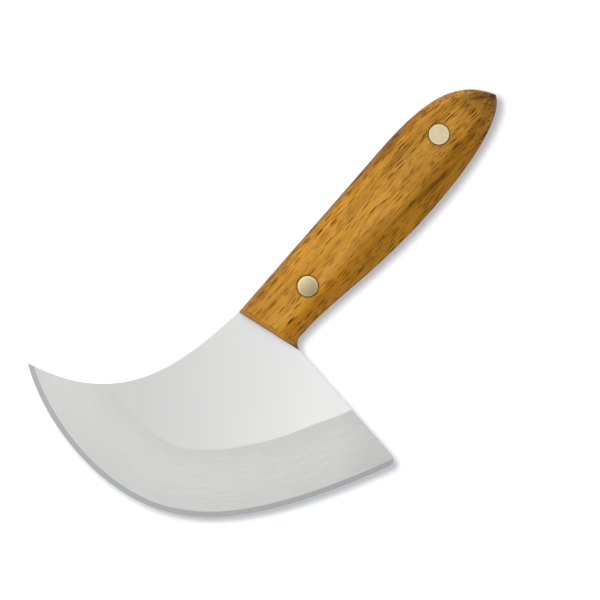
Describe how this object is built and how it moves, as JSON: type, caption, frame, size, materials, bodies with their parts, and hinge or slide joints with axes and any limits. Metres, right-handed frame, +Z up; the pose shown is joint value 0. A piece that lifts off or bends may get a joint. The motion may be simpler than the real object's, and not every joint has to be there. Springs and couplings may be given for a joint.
{
  "type": "cheese knife",
  "caption": "Cheese knife with a wide crescent blade, hollow back and long heel, its full tang riveted between wooden scales.",
  "frame": {"origin": "on the surface that the knife lies on, under the middle of its bounding box", "axes": "+X from the butt to the blade along the line of the rivets, +Y towards the heel of the blade, +Z up out of the knife's side"},
  "size_m": [0.2118, 0.1326, 0.019],
  "materials": {
    "blade_steel": "satin polished flat with a finely ground bevel and a honed edge",
    "handle_wood": "oiled, satin, with dark pores along the handle",
    "rivet_metal": "pale brass ground flush and lightly polished"
  },
  "bodies": {
    "root": {"blade": "blade_steel", "upper_scale": "handle_wood", "lower_scale": "handle_wood", "front_rivet_tube": "rivet_metal", "front_rivet_shank": "rivet_metal", "back_rivet_tube": "rivet_metal", "back_rivet_shank": "rivet_metal"}
  },
  "joints": []
}
